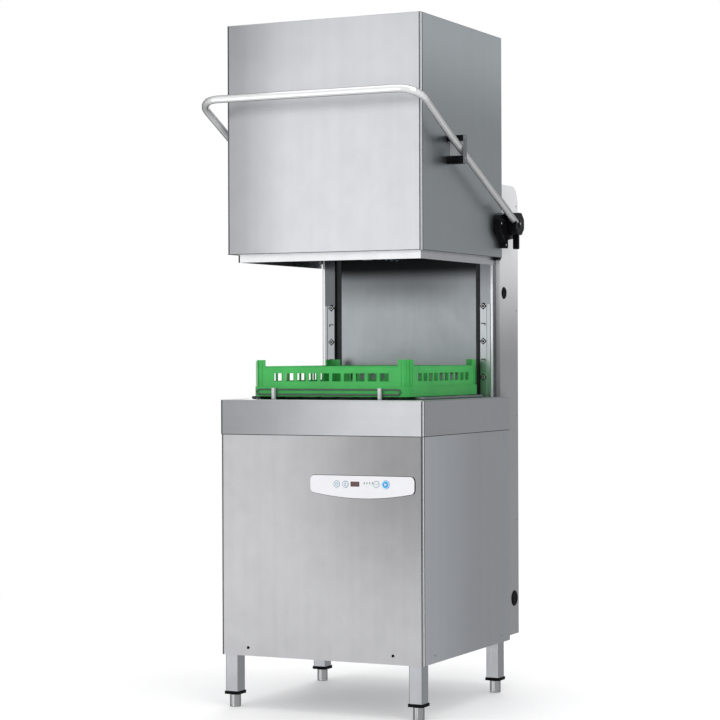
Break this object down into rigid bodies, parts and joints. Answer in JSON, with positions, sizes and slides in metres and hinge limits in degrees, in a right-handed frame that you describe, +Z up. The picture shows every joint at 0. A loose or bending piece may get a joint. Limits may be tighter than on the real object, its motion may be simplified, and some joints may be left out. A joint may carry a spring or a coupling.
{
  "type": "commercial dishwasher",
  "caption": "Hood-type pass-through dishwasher: square steel cabinet on legs, lifting hood with a side-pivoted tube handle, rear column, dish rack and control panel.",
  "frame": {"origin": "on the floor, under the middle of the machine's overall box", "axes": "+Z up, -Y towards the user, +X to the machine's right seen from the front"},
  "size_m": [0.722, 0.85, 1.9691],
  "materials": {
    "satin_steel": "brushed stainless sheet",
    "bright_steel": "bright brushed stainless sheet",
    "pale_steel": "fine satin stainless",
    "tube_steel": "polished stainless tube",
    "dark_steel": "dull zinc-grey steel",
    "black_plastic": "moulded black plastic",
    "white_plastic": "smooth white plastic",
    "grey_plastic": "pale grey plastic",
    "blue_plastic": "translucent blue push button",
    "green_plastic": "moulded green plastic",
    "display": "dark red display window"
  },
  "bodies": {
    "cabinet": {"front_panel": "satin_steel", "left_side_panel": "satin_steel", "right_side_panel": "satin_steel", "rear_panel": "satin_steel", "base_frame": "satin_steel", "base_tray": "satin_steel", "worktop_deck": "satin_steel", "worktop_apron": "satin_steel", "wash_tank": "satin_steel", "tank_strainer": "satin_steel", "tank_heater": "satin_steel", "lower_arm_pedestal": "satin_steel", "upper_arm_manifold": "satin_steel", "splash_wall": "satin_steel", "guide_post_left": "satin_steel", "guide_post_right": "satin_steel", "tower_rear_cover": "satin_steel", "rack_guide_wire": "satin_steel", "rack_track": "satin_steel", "foot_front_left": "satin_steel", "foot_front_right": "satin_steel", "foot_rear_left": "satin_steel", "foot_rear_right": "satin_steel", "guide_strip_left": "pale_steel", "guide_strip_right": "pale_steel", "tower_column": "bright_steel", "tower_cap": "bright_steel", "balance_spring_left": "dark_steel", "balance_spring_right": "dark_steel", "wash_pump": "dark_steel", "rinse_boiler": "dark_steel", "pivot_bracket_left": "black_plastic", "pivot_bracket_right": "black_plastic", "control_fascia": "white_plastic", "display_window": "display", "control_box": "grey_plastic", "filter_basket": "grey_plastic", "electrical_box": "grey_plastic"},
    "hood": {"hood_front_panel": "satin_steel", "hood_left_panel": "satin_steel", "hood_right_panel": "satin_steel", "hood_top_panel": "satin_steel", "hood_skirt": "satin_steel", "hood_runner_left": "black_plastic", "hood_runner_right": "black_plastic", "handle_bracket_left": "satin_steel", "handle_bracket_right": "satin_steel"},
    "handle": {"handle_bar": "tube_steel", "pivot_hub_left": "black_plastic", "pivot_hub_right": "black_plastic", "pivot_shaft": "dark_steel"},
    "rack": {"dish_rack": "green_plastic"},
    "lower_wash_arm": {"lower_wash_arm": "satin_steel"},
    "lower_rinse_arm": {"lower_rinse_arm": "satin_steel"},
    "upper_wash_arm": {"upper_wash_arm": "satin_steel"},
    "upper_rinse_arm": {"upper_rinse_arm": "satin_steel"},
    "power_button": {"power_button": "grey_plastic"},
    "program_button": {"program_button": "grey_plastic"},
    "select_button": {"select_button": "grey_plastic"},
    "start_button": {"start_button": "blue_plastic"}
  },
  "joints": [
    {"name": "hood_lift", "type": "slide", "parent": "cabinet", "child": "hood", "axis": [0, 0, -1], "range_m": [0, 0.395], "stiffness_N_per_m": 60, "springref_m": -2.6},
    {"name": "handle_swing", "type": "hinge", "parent": "cabinet", "child": "handle", "pos_m": [0, 0.3085, 1.4095], "axis": [1, 0, 0], "range_deg": [0, 49.6], "deforming": ["balance_spring_left", "balance_spring_right"]},
    {"name": "rack_slide", "type": "slide", "parent": "cabinet", "child": "rack", "axis": [1, 0, 0], "range_m": [-0.64, 0.64]},
    {"name": "lower_wash_arm_spin", "type": "hinge", "parent": "cabinet", "child": "lower_wash_arm", "pos_m": [0, -0.0167, 0.8468], "axis": [0, 0, 1], "continuous": true},
    {"name": "lower_rinse_arm_spin", "type": "hinge", "parent": "cabinet", "child": "lower_rinse_arm", "pos_m": [0, -0.0167, 0.8703], "axis": [0, 0, 1], "continuous": true},
    {"name": "upper_wash_arm_spin", "type": "hinge", "parent": "cabinet", "child": "upper_wash_arm", "pos_m": [0, -0.0167, 1.3273], "axis": [0, 0, 1], "continuous": true},
    {"name": "upper_rinse_arm_spin", "type": "hinge", "parent": "cabinet", "child": "upper_rinse_arm", "pos_m": [0, -0.0167, 1.3078], "axis": [0, 0, 1], "continuous": true},
    {"name": "power_button_press", "type": "slide", "parent": "cabinet", "child": "power_button", "axis": [0, 1, 0], "range_m": [0, 0.001], "stiffness_N_per_m": 600, "springref_m": -0.001},
    {"name": "program_button_press", "type": "slide", "parent": "cabinet", "child": "program_button", "axis": [0, 1, 0], "range_m": [0, 0.001], "stiffness_N_per_m": 600, "springref_m": -0.001},
    {"name": "select_button_press", "type": "slide", "parent": "cabinet", "child": "select_button", "axis": [0, 1, 0], "range_m": [0, 0.001], "stiffness_N_per_m": 600, "springref_m": -0.001},
    {"name": "start_button_press", "type": "slide", "parent": "cabinet", "child": "start_button", "axis": [0, 1, 0], "range_m": [0, 0.001], "stiffness_N_per_m": 600, "springref_m": -0.001}
  ],
  "couplings": [
    {"joint": "handle_swing", "follows": "hood_lift", "rad_per_m": 2.188}
  ]
}
